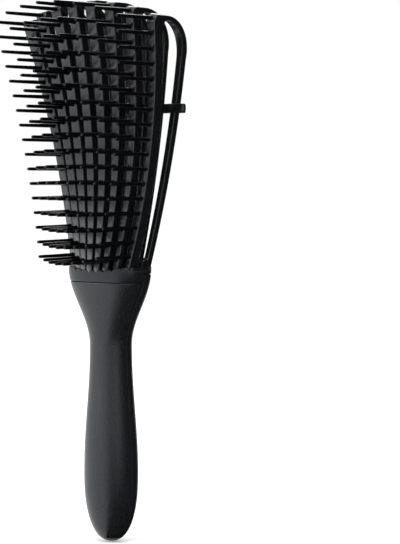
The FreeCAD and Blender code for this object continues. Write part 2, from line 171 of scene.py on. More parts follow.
def plastic(name, look):
    material = bpy.data.materials.new(name)
    material.use_nodes = True
    nodes, links = material.node_tree.nodes, material.node_tree.links
    surface = nodes["Principled BSDF"]
    skin = nodes.new("ShaderNodeGroup")
    skin.node_tree = mouldedSkin
    for socket, value in (("Colour", (*look["colour"], 1)), ("Sheen And Speckle Colour", (*look["paintedSheen"], 1)),
                          ("Grain Scale", look["grainScale"]), ("Patch Scale", look["patchScale"]),
                          ("Gloss Low", look["gloss"][0]), ("Gloss High", look["gloss"][1]),
                          ("Sheen Strength", look["sheenStrength"]), ("Speckle", look["speckle"])):
        skin.inputs[socket].default_value = value
    links.new(skin.outputs["Colour"], surface.inputs["Base Color"])
    links.new(skin.outputs["Roughness"], surface.inputs["Roughness"])
    bump = nodes.new("ShaderNodeBump")
    bump.inputs["Strength"].default_value = look["bump"]
    bump.inputs["Distance"].default_value = look["bumpDepth"]
    links.new(skin.outputs["Height"], bump.inputs["Height"])
    links.new(bump.outputs["Normal"], surface.inputs["Normal"])
    surface.inputs["IOR"].default_value = look["ior"]
    surface.inputs["Specular Tint"].default_value = coolTint
    return material


# Each look's second colour is paler: it is a painted highlight on the rounded edges, standing in for the light they
# catch, and the grain's speckle takes it too
looks = {
    "handle": {"colour": (0.0042, 0.0045, 0.0053), "paintedSheen": (0.02, 0.021, 0.023), "grainScale": 1500, "patchScale": 45,
               "gloss": (0.3, 0.4), "sheenStrength": 0.6, "speckle": 0.6, "bump": 0.6, "bumpDepth": 0.0002, "ior": 1.5},
    "panel": {"colour": (0.004, 0.0043, 0.005), "paintedSheen": (0.02, 0.021, 0.023), "grainScale": 900, "patchScale": 40,
              "gloss": (0.28, 0.36), "sheenStrength": 0.5, "speckle": 0.2, "bump": 0.1, "bumpDepth": 0.0002, "ior": 1.48},
    "base": {"colour": (0.004, 0.0043, 0.005), "paintedSheen": (0.02, 0.021, 0.023), "grainScale": 1600, "patchScale": 60,
             "gloss": (0.3, 0.4), "sheenStrength": 0.6, "speckle": 0.5, "bump": 0.2, "bumpDepth": 0.0002, "ior": 1.46},
    "claw": {"colour": (0.003, 0.0032, 0.0037), "paintedSheen": (0.02, 0.021, 0.023), "grainScale": 1000, "patchScale": 70,
             "gloss": (0.2, 0.3), "sheenStrength": 0.7, "speckle": 0.25, "bump": 0.1, "bumpDepth": 0.0002, "ior": 1.62},
    "pin": {"colour": (0.0015, 0.0015, 0.0018), "paintedSheen": (0.01, 0.01, 0.011), "grainScale": 700, "patchScale": 90,
            "gloss": (0.1, 0.17), "sheenStrength": 0.4, "speckle": 0.1, "bump": 0.04, "bumpDepth": 0.0002, "ior": 1.4},
    "band": {"colour": (0.003, 0.0032, 0.0037), "paintedSheen": (0.016, 0.0165, 0.018), "grainScale": 1000, "patchScale": 70,
             "gloss": (0.2, 0.32), "sheenStrength": 0.6, "speckle": 0.25, "bump": 0.06, "bumpDepth": 0.0002, "ior": 1.45},
}
finish = {name: plastic(name + "Plastic", look) for name, look in looks.items()}
print("materials:", ", ".join(finish))

# The handle
handle = {
    "bulgeHeight": 31.0, "bulge": (26.0, 21.5), "waistHeight": 88.0, "waist": (20.0, 17.0), "root": (40.6, 21.5),
    "rootForward": 2.25, "buttRound": 2.35, "frontRound": 2.2, "backRound": 4.2, "parting": -1.0,
    "frontSeam": 116.4, "backSeam": 120.0, "seamGap": 0.2, "buttTip": 0.02,
    "buttRows": 24, "shaftRows": 70, "roundColumns": 61, "clearTop": 0.6,
}


# Superellipse of the butt below the bulge, then cosine waves to the waist and to the root
def outlineHalf(height, bulge, waist, root):
    v = handle
    drop = np.clip((v["bulgeHeight"] - height) / v["bulgeHeight"], 0, 1)
    butt = bulge * np.maximum(0, 1 - drop ** v["buttRound"]) ** (1 / v["buttRound"])
    shaft = ease(bulge, waist, (height - v["bulgeHeight"]) / (v["waistHeight"] - v["bulgeHeight"]))
    flare = ease(waist, root, (height - v["waistHeight"]) / (brush["rootHeight"] - v["waistHeight"]))
    return np.where(height < v["bulgeHeight"], butt, np.where(height < v["waistHeight"], shaft, flare)) / 2


# How far up the flare a height is, 0 at the waist and 1 at the root
def rootShare(height):
    return np.clip((height - handle["waistHeight"]) / (brush["rootHeight"] - handle["waistHeight"]), 0, 1)


# Half width, half depth and the middle's y of the section at a height
def sectionSizes(height):
    wide = outlineHalf(height, handle["bulge"][0], handle["waist"][0], handle["root"][0])
    deep = outlineHalf(height, handle["bulge"][1], handle["waist"][1], handle["root"][1])
    centre = ease(0, -handle["rootForward"], rootShare(height))
    return wide, deep, centre


# The section's exponent: an ellipse up to the waist, then fuller, front and back by their own roundness
def sectionPower(height, turn):
    end = np.where(np.sin(turn) < 0, handle["frontRound"], handle["backRound"])
    return 2 / ease(2, end, rootShare(height))


# Superellipse section: x is cos and y is sin of the turn, each to the power of 2 over the roundness
def sectionPoint(height, turn, inset):
    wide, deep, centre = sectionSizes(height)
    power = sectionPower(height, turn)
    x = np.maximum(wide - inset, 0.01) * np.sign(np.cos(turn)) * np.abs(np.cos(turn)) ** power
    y = centre + np.maximum(deep - inset, 0.01) * np.sign(np.sin(turn)) * np.abs(np.sin(turn)) ** power
    return stack(x, y, height)


# The turn at which the section's +X side has this y, and the turn at which its back has this x
def turnAtY(height, y):
    wide, deep, centre = sectionSizes(height)
    rise = y - centre
    power = sectionPower(height, np.sign(rise) * 0.5)
    return np.sign(rise) * np.arcsin(np.clip(np.abs(rise) / deep, 0, 1) ** (1 / power))


def turnAtX(height, x):
    wide = sectionSizes(height)[0]
    power = sectionPower(height, np.full_like(height, 0.5))
    return np.arccos(np.clip(x / wide, 0, 1) ** (1 / power))


# A rolled edge in three steps, each a distance from the edge and an inset
roll = {"deep": 0.35, "midDeep": 0.1, "midTall": 0.12, "tall": 0.42}
rollSteps = ((0.0, roll["deep"]), (roll["midTall"], roll["midDeep"]), (roll["tall"], 0.0))
# Tongues close the seams behind the rolled edges
tongue = {"share": 0.8, "over": 0.75, "keep": 0.6, "deep": 2.0, "under": 0.05}


def rollHeights(top):
    return [top - roll["tall"], top - roll["midTall"], top]


# Rows crowd towards the butt and the rolled top edge
def shellHeights(top):
    butt = handle["bulgeHeight"] * (np.arange(1, handle["buttRows"] + 1) / handle["buttRows"]) ** 2
    rest = np.linspace(handle["bulgeHeight"], top - handle["clearTop"], handle["shaftRows"])[1:]
    return np.concatenate([[handle["buttTip"]], butt, rest, rollHeights(top)])


# Inset of the rolled top edge by the distance below it
def topRoll(height, top):
    return np.interp(top - height, [away for away, inset in rollSteps], [inset for away, inset in rollSteps])


# The front shell runs round the front from one side's parting to the other's
def frontShell():
    height = shellHeights(handle["frontSeam"])[:, None]
    side = handle["parting"] - handle["seamGap"] / 2
    rolled = [turnAtY(height, side - away) for away, inset in rollSteps]
    last = rolled[-1]
    sweep = last + (-np.pi - 2 * last) * np.linspace(0, 1, handle["roundColumns"])[None, 1:-1]
    plain = np.zeros(sweep.shape[1])
    turns = np.concatenate(rolled + [sweep] + [-np.pi - turn for turn in reversed(rolled)], 1)
    insets = np.array([inset for away, inset in rollSteps])
    across = np.concatenate([insets, plain, insets[::-1]])[None, :]
    inset = np.maximum(across, topRoll(height, handle["frontSeam"]))
    return sectionPoint(height, turns, inset), np.clip(inset / roll["deep"], 0, 1)


points, edge = frontShell()
addPiece("handleFront", tubeMesh("handleFront", [points], edges=[edge]), finish["handle"], "handle", "handle",
         "handle_front_shell")

panel = {"bottom": 3.0, "top": 118.6, "topWidth": 25.4, "waistWidth": 11.8, "bulgeWidth": 19.6, "groove": 0.3,
         "sink": 0.12, "recess": 1.6, "roll": 0.5, "bed": 0.1, "mouthLip": 0.12}


# The panel's half width follows the handle's pattern with its own widths and bottom
def panelHalf(height):
    v = panel
    drop = np.clip((handle["bulgeHeight"] - height) / (handle["bulgeHeight"] - v["bottom"]), 0, 1)
    low = v["bulgeWidth"] * np.maximum(0, 1 - drop ** handle["buttRound"]) ** (1 / handle["buttRound"])
    upShaft = (height - handle["bulgeHeight"]) / (handle["waistHeight"] - handle["bulgeHeight"])
    upFlare = (height - handle["waistHeight"]) / (v["top"] - handle["waistHeight"])
    middle = ease(v["bulgeWidth"], v["waistWidth"], upShaft)
    high = ease(v["waistWidth"], v["topWidth"], upFlare)
    return np.where(height < handle["bulgeHeight"], low, np.where(height < handle["waistHeight"], middle, high)) / 2


# The back shell: from the parting to the recess, down its wall, across its floor and the same again mirrored
def backShell():
    v = panel
    rim = v["top"] + v["groove"]
    butt = np.concatenate([[handle["buttTip"]], np.linspace(0.3, v["bottom"] - v["groove"], 8)])
    low = v["bottom"] + (handle["bulgeHeight"] - v["bottom"]) * (np.arange(0, 30) / 29) ** 2
    high = np.linspace(handle["bulgeHeight"], rim - 0.4, handle["shaftRows"])[1:]
    top = handle["backSeam"]
    ledge = [rim - 0.001, rim, rim + 0.1, rim + 0.4]
    height = np.concatenate([butt, low, high, ledge, rollHeights(top)])[:, None]
    deep = ((height > v["bottom"] - v["groove"] + 0.01) & (height < rim - 0.0005)) * v["recess"]
    side = handle["parting"] + handle["seamGap"] / 2
    rolled = [turnAtY(height, side + away) for away, inset in rollSteps]
    mouth = turnAtX(height, panelHalf(np.minimum(height, v["top"])) + v["groove"] * (deep > 0))
    outer = rolled[-1] + (mouth - rolled[-1]) * np.linspace(0, 0.97, 20)[None, 1:]
    floor = mouth + (np.pi / 2 - mouth) * np.linspace(0, 1, 9)[None, :]
    half = np.concatenate(rolled + [outer, mouth, floor], 1)
    blank = np.zeros_like(height)
    insets = [blank + inset for away, inset in rollSteps]
    insets += [np.repeat(blank, outer.shape[1], 1), blank + v["mouthLip"] * (deep > 0)]
    insets += [np.repeat(deep, floor.shape[1], 1)]
    inset = np.concatenate(insets, 1)
    turns = np.concatenate([half, np.pi - half[:, -2::-1]], 1)
    inset = np.concatenate([inset, inset[:, -2::-1]], 1)
    inset = np.maximum(inset, topRoll(height, top))
    # The parting's edge and the recess's mouth get most of the painted edge highlight
    rimEdge = np.zeros_like(inset)
    lip = len(rollSteps) + outer.shape[1]
    rimEdge[:, [0, 1, lip, -1, -2, -1 - lip]] = 0.7
    points = sectionPoint(height, turns, inset)
    # A tongue at each side reaches over the seam, so that no light comes through it
    tongues = points[:, [0, -1]] * np.array([tongue["share"], 1, 1])
    wide, deep, centre = sectionSizes(height)
    reach = handle["parting"] - tongue["over"] * handle["seamGap"]
    tongues[..., 1] = np.maximum(reach, centre - tongue["keep"] * deep)
    points = np.concatenate([tongues[:, :1], points, tongues[:, 1:]], 1)
    return points, np.pad(np.maximum(rimEdge, topRoll(height, top) / roll["deep"]), ((0, 0), (1, 1)))


points, edge = backShell()
addPiece("handleBack", tubeMesh("handleBack", [points], edges=[edge]), finish["handle"], "handle", "handle",
         "handle_back_shell")


# The panel: its face lies sunk in the back of the handle, rolls off at its edge, and its underside closes it
def backPanel():
    v = panel
    low = v["bottom"] + (handle["bulgeHeight"] - v["bottom"]) * (np.arange(1, 36) / 35) ** 2
    high = np.linspace(handle["bulgeHeight"], v["top"] - handle["clearTop"], 80)[1:]
    end = v["top"] - np.array([0.4, 0.2, 0.08, 0])
    height = np.concatenate([[v["bottom"] + handle["buttTip"]], low, high, end])[:, None]
    half = panelHalf(height)
    away = np.array([0, 0.08, 0.2, 0.45, 0.8])[None, :]
    rimX = np.maximum(half - away, half * 0.2)
    inner = rimX[:, -1:] * np.linspace(1, 0, 14)[None, 1:]
    right = np.concatenate([rimX, inner], 1)
    x = np.concatenate([right, -right[:, -2::-1]], 1)
    fromEdge = np.minimum(half - np.abs(x), v["top"] - height)
    fall = np.clip(v["roll"] - fromEdge, 0, v["roll"])
    rollOff = v["roll"] - np.sqrt(v["roll"] ** 2 - fall ** 2)
    face = turnAtX(height, np.abs(x))
    turns = np.where(x < 0, np.pi - face, face)
    faceInset = v["sink"] + rollOff
    wide, deep, centre = sectionSizes(height)
    power = sectionPower(height, turns)
    y = centre + (deep - faceInset) * np.abs(np.sin(turns)) ** power
    upper = stack(x, y, height)
    lower = stack(x, centre + (deep - v["recess"] + v["bed"]) * np.abs(np.sin(turns)) ** power, height)[:, ::-1]
    return np.concatenate([upper, lower], 1), np.concatenate([fall / v["roll"], np.zeros_like(fall)], 1)


points, edge = backPanel()
addPiece("backPanel", tubeMesh("backPanel", [points], edges=[edge]), finish["panel"], "handle", "panel", "back_panel")
print("handle done")

# The fan of claws, each in its own frame: y along its hinge, z up the claw, the hinge at the origin
fan = {
    "hinge": 120.7, "fanAngle": 11.2, "twistAngle": 10.0, "rootSpan": 32.6, "topDrop": 7.5, "frontSag": 5.0,
    "frontReach": (12.6, 11.0, 21.0), "backReach": (5.4, 8.2, 7.0), "shoulderDrop": 18.5, "archFullness": 0.55,
    "footGap": 0.45, "windowBottom": 126.5, "windowCorner": 1.7, "stripWidth": (3.1, 5.5), "stripDepth": 4.6,
    "crown": 2.6, "headLength": 8.0, "bendTall": 10.0, "archThick": 2.2, "legWidth": (2.7, 3.8), "legDepth": 3.0,
    "sunk": 2.2, "edgeRadius": 0.5, "sillLip": 0.3, "heel": 1.0, "archSteps": 22, "runSteps": 40,
}


# Parabola through the root's, the middle's and the end's reach as share goes from 0 to 1
def parabola(reach, share):
    root, middle, end = reach
    return root + (end - root) * share + 4 * (middle - (root + end) / 2) * share * (1 - share)


# A claw's lean, twist, heights and the lines of its front and back, from its place in the fan
def clawShape(number):
    v = fan
    side = (2 * number - brush["clawCount"] - 1) / (brush["clawCount"] - 1)
    lean = np.radians(side * v["fanAngle"])
    along = lambda height: (height - v["hinge"]) / np.cos(lean)
    top = along(brush["length"] - v["topDrop"] * side ** 2)
    foot = along(brush["rootHeight"] + v["footGap"])
    shoulder = top - v["shoulderDrop"]
    claw = {"number": number, "side": side, "lean": lean, "twist": np.radians(-side * v["twistAngle"]), "top": top,
            "foot": foot, "shoulder": shoulder, "sill": along(v["windowBottom"]), "along": along}

    # The front is drawn back at the sides of the fan
    def front(z):
        return parabola([-reach for reach in v["frontReach"]], (z - foot) / (top - foot)) + v["frontSag"] * side ** 2

    def back(z):
        return parabola(v["backReach"], (z - foot) / (shoulder - foot))

    claw["front"] = front
    claw["back"] = back
    claw["joint"] = front(top) + v["headLength"]
    claw["parting"] = (front(claw["sill"]) + v["stripDepth"] + back(claw["sill"]) - v["legDepth"]) / 2
    return claw


# A claw's frame into the brush's: twist about z, lean about y, then out to the claw's place on the base
def placeClaw(claw, points):
    ct, st = np.cos(claw["twist"]), np.sin(claw["twist"])
    cl, sl = np.cos(claw["lean"]), np.sin(claw["lean"])
    x = ct * points[..., 0] - st * points[..., 1]
    y = st * points[..., 0] + ct * points[..., 1]
    z = points[..., 2]
    return stack(claw["side"] * fan["rootSpan"] / 2 + cl * x + sl * z, y, fan["hinge"] - sl * x + cl * z)


# Angles from 0 to a right angle
def quarterTurn(count):
    return np.linspace(0, np.pi / 2, count)


# Rounded rectangles, one a row: each corner is a quarter turn about a centre set in by the radius
def roundedRows(halfWide, halfDeep, radius):
    angle = quarterTurn(5)
    bend = np.concatenate([angle + quarter * np.pi / 2 for quarter in range(4)])
    signX = np.repeat([1, -1, -1, 1], len(angle))
    signY = np.repeat([1, 1, -1, -1], len(angle))
    radius = radius[:, None]
    x = signX * (halfWide[:, None] - radius) + radius * np.cos(bend)
    y = signY * (halfDeep[:, None] - radius) + radius * np.sin(bend)
    # The corners are the edges that get the painted highlight
    edge = np.repeat((np.abs(np.sin(2 * bend)) > 0.3).astype(float)[None, :], len(halfWide), 0)
    return x, y, edge


# A bar between an outer and an inner line in the claw's plane: at each station a rounded rectangle spans the two lines
def clawBar(claw, outer, inner, width):
    middle = (outer + inner) / 2
    through = (outer - inner) / 2
    reach = np.linalg.norm(through, axis=1)
    corner = np.minimum(fan["edgeRadius"], np.minimum(reach, width / 2) * 0.95)
    x, y, edge = roundedRows(width / 2, reach, corner)
    flat = middle[:, None, :] + (y / reach[:, None])[..., None] * through[:, None, :]
    return placeClaw(claw, stack(x, flat[..., 0], flat[..., 1])), edge


# Cubic Bezier curve: the four poles weighted by the Bernstein polynomials
def bezier(poles, count):
    t = np.linspace(0, 1, count)[:, None]
    a, b, c, d = (np.array(pole, float) for pole in poles)
    return (1 - t) ** 3 * a + 3 * (1 - t) ** 2 * t * b + 3 * (1 - t) * t ** 2 * c + t ** 3 * d


# Points of a claw's plane, y before z
def line(z, y):
    return np.stack([y, z], -1)


# A width that goes evenly from the hinge's to the top's
def taper(claw, widths, outer):
    return widths[0] + (widths[1] - widths[0]) * np.clip(outer[:, 1] / claw["top"], 0, 1)


# The strip: its foot, the fillet of the window, its long run, and its head that turns back into the arch
def stripLines(claw):
    v = fan
    front, sill, turn = claw["front"], claw["sill"], v["windowCorner"]
    rear = lambda z: front(z) + v["stripDepth"]
    under = claw["top"] - v["archThick"]
    bendLow = under - v["bendTall"]
    footZ = np.array([claw["foot"] - v["sunk"], claw["foot"] + v["heel"], sill - v["sillLip"], sill])
    angle = quarterTurn(6)
    filletZ = sill + turn * (1 - np.cos(angle))
    filletY = rear(sill + turn) + turn * (1 - np.sin(angle))
    runZ = np.linspace(sill + turn, bendLow, v["runSteps"])[1:]
    innerZ = np.concatenate([footZ, filletZ, runZ])
    innerY = np.concatenate([np.full(4, claw["parting"]), filletY, rear(runZ)])
    outer = line(innerZ, front(innerZ))
    inner = line(innerZ, innerY)
    bend = quarterTurn(13)[1:]
    bendZ = bendLow + v["bendTall"] * np.sin(bend)
    innerBend = np.stack([rear(bendZ) + (claw["joint"] - rear(bendZ)) * (1 - np.cos(bend)), bendZ], -1)
    crownZ = claw["top"] - v["crown"]
    crownY = front(crownZ) + v["crown"]
    riseZ = np.linspace(bendLow, crownZ, 5)[1:]
    rise = line(riseZ, front(riseZ))
    crownTurn = quarterTurn(6)[1:]
    crown = np.stack([crownY - v["crown"] * np.cos(crownTurn), crownZ + v["crown"] * np.sin(crownTurn)], -1)
    level = np.linspace(crownY, claw["joint"], 4)[1:]
    head = np.stack([level, np.full(3, claw["top"])], -1)
    outer = np.concatenate([outer, rise, crown, head])
    inner = np.concatenate([inner, innerBend])
    return outer, inner, taper(claw, v["stripWidth"], outer)


# The leg: from the joint over the arch's Bezier, down the back, and the fillet of the window to its foot
def legLines(claw):
    v = fan
    back, sill, turn = claw["back"], claw["sill"], v["windowCorner"]
    inside = lambda z: back(z) - v["legDepth"]
    full = v["archFullness"]
    arches = []
    for start, z, y in ((claw["top"], claw["shoulder"], back(claw["shoulder"])),
                        (claw["top"] - v["archThick"], claw["shoulder"], inside(claw["shoulder"]))):
        first = (claw["joint"], start)
        level = (claw["joint"] + full * (y - claw["joint"]), start)
        plumb = (y, z + full * (start - z))
        arches.append(bezier((first, level, plumb, (y, z)), v["archSteps"]))
    runZ = np.linspace(claw["shoulder"], sill + turn, v["runSteps"])[1:]
    angle = quarterTurn(6)[::-1][1:]
    filletZ = sill + turn * (1 - np.cos(angle))
    filletY = inside(sill + turn) - turn * (1 - np.sin(angle))
    footZ = np.array([sill, sill - v["sillLip"], claw["foot"] + v["heel"], claw["foot"] - v["sunk"]])
    lowZ = np.concatenate([runZ, filletZ, footZ])
    lowY = np.concatenate([inside(runZ), filletY, np.full(4, claw["parting"])])
    outer = np.concatenate([arches[0], line(lowZ, back(lowZ))])
    inner = np.concatenate([arches[1], line(lowZ, lowY)])
    plain = taper(claw, v["legWidth"], outer)
    head = 1 - np.linspace(0, 1, v["archSteps"]) ** 2
    wide = np.concatenate([head, np.zeros(len(outer) - v["archSteps"])])
    return outer, inner, plain + wide * (v["stripWidth"][1] - plain)


pin = {"length": 22.5, "base": 1.9, "tip": 1.5, "sunk": 1.0, "lowestRise": 2.8, "outerRise": 2.4, "topDrop": 1.9,
       "collar": 0.25, "collarTall": 0.35, "sides": 8}


# A pin is turned: rings of a radius at distances out of the strip, straight to the brush's front
def pinGrids(claw):
    v = pin
    first = claw["along"](brush["rootHeight"] + v["lowestRise"] + v["outerRise"] * claw["side"] ** 2)
    height = np.linspace(first, claw["top"] - v["topDrop"], brush["pinsPerClaw"])
    seat = placeClaw(claw, stack(np.zeros_like(height), claw["front"](height), height))
    half = v["tip"] / 2
    foot = v["base"] / 2
    out = np.array([-v["sunk"], 0.0, v["collarTall"], v["length"] - half, v["length"] - 0.35 * half, v["length"]])
    radius = np.array([foot + v["collar"], foot + v["collar"], foot, half, half * 0.76, half * 0.12])
    angle = np.linspace(0, 2 * np.pi, v["sides"], endpoint=False)
    ring = stack(radius[:, None] * np.cos(angle), -out[:, None] + 0 * angle, radius[:, None] * np.sin(angle))
    # The pins' tips count as edges and get the painted highlight, a paler colour for their glints
    tipEdge = np.repeat(np.array([0, 0, 0, 0.4, 1, 1])[:, None], v["sides"], 1)
    return [ring + place for place in seat], [tipEdge] * len(seat)


holeShade = {"height": 218.0, "radius": 0.6, "proud": 0.04, "sunk": 0.3, "sides": 20, "claws": (2, 7)}


# The dark disc is painted shade for a small hole in the back of the leg: a shallow dark dish in a raised rim, square
# to the leg where it sits
def holeShadeGrid(claw):
    v = holeShade
    outer = legLines(claw)[0]
    half = len(outer) // 2
    spot = int(np.argmin(np.abs(outer[:half, 1] - claw["along"](v["height"]))))
    tangent = outer[spot + 1] - outer[spot - 1]
    tangent = tangent / np.linalg.norm(tangent)
    outward = np.array([-tangent[1], tangent[0]])
    angle = np.linspace(0, 2 * np.pi, v["sides"], endpoint=False)
    ring = np.array([1.0, 1.0, 0.9, 0.75, 0.3]) * v["radius"]
    lift = np.array([-v["sunk"], 0.5 * v["proud"], v["proud"], 0.4 * v["proud"], 0.3 * v["proud"]])
    rise = ring[:, None] * np.sin(angle)
    flat = outer[spot] + rise[..., None] * tangent + lift[:, None, None] * outward
    points = placeClaw(claw, stack(ring[:, None] * np.cos(angle), flat[..., 0], flat[..., 1]))
    return points, np.zeros(points.shape[:2])


claws = [clawShape(number) for number in range(1, brush["clawCount"] + 1)]
for claw in claws:
    name = "claw" + str(claw["number"])
    body = "claw_" + str(claw["number"])
    points, edge = clawBar(claw, *stripLines(claw))
    addPiece(name + "Strip", tubeMesh(name + "Strip", [points], 50, [edge]), finish["claw"], body, "claw",
             body + "_strip")
    points, edge = clawBar(claw, *legLines(claw))
    addPiece(name + "Leg", tubeMesh(name + "Leg", [points], 50, [edge]), finish["claw"], body, "claw", body + "_leg")
    # Claws 2 and 7 get the dark disc of painted hole shade
    if claw["number"] in holeShade["claws"]:
        points, edge = holeShadeGrid(claw)
        addPiece(name + "Dot", tubeMesh(name + "Dot", [points], 50, [edge]), finish["pin"], body, "claw",
                 body + "_leg")
    grids, edges = pinGrids(claw)
    addPiece(name + "Pins", tubeMesh(name + "Pins", grids, 60, edges), finish["pin"], body, "pin", body + "_pins")
print("claws done")

base = {"columns": 240, "lip": 0.5, "sag": 1.4, "sagFrom": 3, "sagRun": 6, "stripHalf": 1.4, "leastGap": 0.3,
        "shoulderRun": 1.4, "shoulderDrop": 1.6, "halfGap": 0.02, "under": 0.01}


# The base's top: at each point the nearest claw is found, and the gap beside it ends in a round trough
def baseTop(x, y):
    v = base
    reach = fan["rootSpan"] / 2 + (brush["rootHeight"] - fan["hinge"]) * np.tan(np.radians(fan["fanAngle"]))
    spread = reach + y * np.sin(np.radians(fan["twistAngle"]))
    side = x / spread
    pitch = 2 * spread / (brush["clawCount"] - 1)
    slot = side * (brush["clawCount"] - 1) / 2 + 0.5
    gap = np.maximum(pitch / 2 - v["stripHalf"], v["leastGap"])
    fromMiddle = np.abs(slot - np.round(slot)) * pitch
    trough = gap - np.sqrt(np.maximum(gap ** 2 - np.minimum(fromMiddle, gap) ** 2, 0))
    past = np.maximum(np.abs(side) - 1, 0) * spread
    shoulder = gap - np.clip((past - v["stripHalf"]) / v["shoulderRun"], 0, 1) ** 2 * v["shoulderDrop"]
    lift = np.where(np.abs(side) > 1, shoulder, trough)
    low = v["sag"] * np.clip(1 - side ** 2, 0, 1) * np.clip((-y - v["sagFrom"]) / v["sagRun"], 0, 1)
    return brush["rootHeight"] + lift - low


# Half of the base: its wall goes up the handle's outline, rolls over at the top's edge and closes to the middle
def baseHalf(seam, front):
    v = base
    parting = handle["parting"] + (-1 if front else 1) * v["halfGap"]
    rim = np.full((1, 1), brush["rootHeight"] - v["under"])
    start = turnAtY(rim, parting)[0, 0]
    share = np.linspace(0, 1, v["columns"])[None, :]
    turns = start + (-np.pi - 2 * start) * share if front else start + (np.pi - 2 * start) * share
    low = seam + handle["seamGap"]
    edgePoint = sectionPoint(rim, turns, 0.0)
    crest = baseTop(edgePoint[..., 0], edgePoint[..., 1])
    wall = np.linspace(0, 1, 8)[:, None]
    # The first ring is a tongue that reaches over the seam to the handle
    rows = [sectionPoint(np.full_like(turns, seam - tongue["under"]), turns, tongue["deep"])]
    edges = [np.zeros_like(turns)]
    for away, inset in rollSteps:
        rows.append(sectionPoint(np.full_like(turns, low + away), turns, inset))
        edges.append(np.full_like(turns, inset / roll["deep"]))
    for share in wall[1:]:
        level = low + roll["tall"] + (crest - v["lip"] - low - roll["tall"]) * share
        ring = sectionPoint(np.minimum(level, brush["rootHeight"] - v["under"]), turns, 0.0)
        ring[..., 2] = level
        rows.append(ring)
        edges.append(np.zeros_like(turns))
    for angle in quarterTurn(5)[1:]:
        ring = sectionPoint(rim, turns, v["lip"] * (1 - np.cos(angle)))
        ring[..., 2] = crest - v["lip"] * (1 - np.sin(angle))
        rows.append(ring)
        edges.append(np.full_like(turns, np.sin(2 * angle)))
    middle = np.array([0, parting])
    rimFlat = rows[-1][..., :2]
    for shrink in np.linspace(0.94, 0.06, 14):
        flat = middle + shrink * (rimFlat - middle)
        rows.append(stack(flat[..., 0], flat[..., 1], baseTop(flat[..., 0], flat[..., 1])))
        edges.append(np.zeros_like(turns))
    return np.concatenate(rows, 0), np.concatenate(edges, 0)


for name, seam, front, node in (("baseFront", handle["frontSeam"], True, "head_front_base"),
                                ("baseBack", handle["backSeam"], False, "head_back_base")):
    points, edge = baseHalf(seam, front)
    addPiece(name, tubeMesh(name, [points], edges=[edge]), finish["base"], "handle", "base", node)
print("base done")

band = {"height": 193.0, "tall": 4.2, "webDeep": 2.4, "boxOut": 2.5, "boxIn": 4.3, "boxFoot": 3.2, "boxFace": 2.3,
        "tab": 5.2, "tip": 1.2, "round": 0.6}


# The band: a bar along the legs' backs whose outer face steps out in a box behind each leg, ended by round tabs
def bandGrid():
    v = band
    spots = []
    for claw in claws:
        level = claw["along"](v["height"])
        spots.append(placeClaw(claw, stack(0.0, claw["back"](level), level)))
    spots = np.array(spots)
    run = np.concatenate([[0], np.cumsum(np.linalg.norm(np.diff(spots[:, :2], axis=0), axis=1))])
    tipSteps = np.array([0, 0.125, 0.5, 1]) * v["tip"]
    stations = list(tipSteps - v["tab"])
    for place in run:
        stations += [place - v["boxFoot"], place - v["boxFace"], place, place + v["boxFace"], place + v["boxFoot"]]
    stations += list(run[-1] + v["tab"] - tipSteps)
    stations = np.array(sorted(stations))
    x = np.interp(stations, run, spots[:, 0])
    y = np.interp(stations, run, spots[:, 1])
    # Past the outer legs the bar keeps the outer legs' heading
    for first, second, beyond in ((0, 1, stations < 0), (-1, -2, stations > run[-1])):
        heading = (spots[first] - spots[second])[:2]
        heading = heading / np.linalg.norm(heading)
        past = np.where(stations < 0, -stations, stations - run[-1])
        x = np.where(beyond, spots[first][0] + heading[0] * past, x)
        y = np.where(beyond, spots[first][1] + heading[1] * past, y)
    tangent = np.stack([np.gradient(x, stations), np.gradient(y, stations)], -1)
    tangent /= np.linalg.norm(tangent, axis=1)[:, None]
    outward = np.stack([-tangent[:, 1], tangent[:, 0]], -1)
    near = np.min(np.abs(stations[:, None] - run[None, :]), axis=1)
    boxed = np.clip((v["boxFoot"] - near) / (v["boxFoot"] - v["boxFace"]), 0, 1)
    tip = np.clip(np.minimum(stations - stations[0], stations[-1] - stations) / v["tip"], 0, 1)
    shrink = np.sqrt(np.maximum(1 - (1 - tip) ** 2, 0.02))
    outDeep = boxed * v["boxOut"]
    inDeep = -v["webDeep"] - boxed * (v["boxIn"] - v["webDeep"])
    middle = (outDeep + inDeep) / 2
    halfDeep = (outDeep - inDeep) / 2 * shrink
    halfTall = v["tall"] / 2 * shrink
    radius = np.minimum(v["round"], np.minimum(halfDeep, halfTall) * 0.9)
    deep, rise, edge = roundedRows(halfDeep, halfTall, radius)
    deep = middle[:, None] + deep
    return stack(x[:, None] + outward[:, :1] * deep, y[:, None] + outward[:, 1:] * deep, v["height"] + rise), edge


points, edge = bandGrid()
addPiece("spacerBand", tubeMesh("spacerBand", [points], 42, [edge]), finish["band"], "handle", "band", "spacer_band")
print("band done")

# The screws keep their CAD shape under a brushed steel
steel = bpy.data.materials.new("screwSteel")
steel.use_nodes = True
steelSurface = steel.node_tree.nodes["Principled BSDF"]
steelSurface.inputs["Base Color"].default_value = (0.55, 0.55, 0.57, 1)
steelSurface.inputs["Metallic"].default_value = 1
steelNoise = steel.node_tree.nodes.new("ShaderNodeTexNoise")
steelNoise.inputs["Scale"].default_value = 800
steelPlace = steel.node_tree.nodes.new("ShaderNodeTexCoord")
steel.node_tree.links.new(steelPlace.outputs["Object"], steelNoise.inputs["Vector"])
steelGloss = steel.node_tree.nodes.new("ShaderNodeMapRange")
steelGloss.inputs["To Min"].default_value = 0.25
steelGloss.inputs["To Max"].default_value = 0.45
steel.node_tree.links.new(steelNoise.outputs["Fac"], steelGloss.inputs["Value"])
steel.node_tree.links.new(steelGloss.outputs["Result"], steelSurface.inputs["Roughness"])
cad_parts["handle_screws"].data.materials.clear()
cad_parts["handle_screws"].data.materials.append(steel)

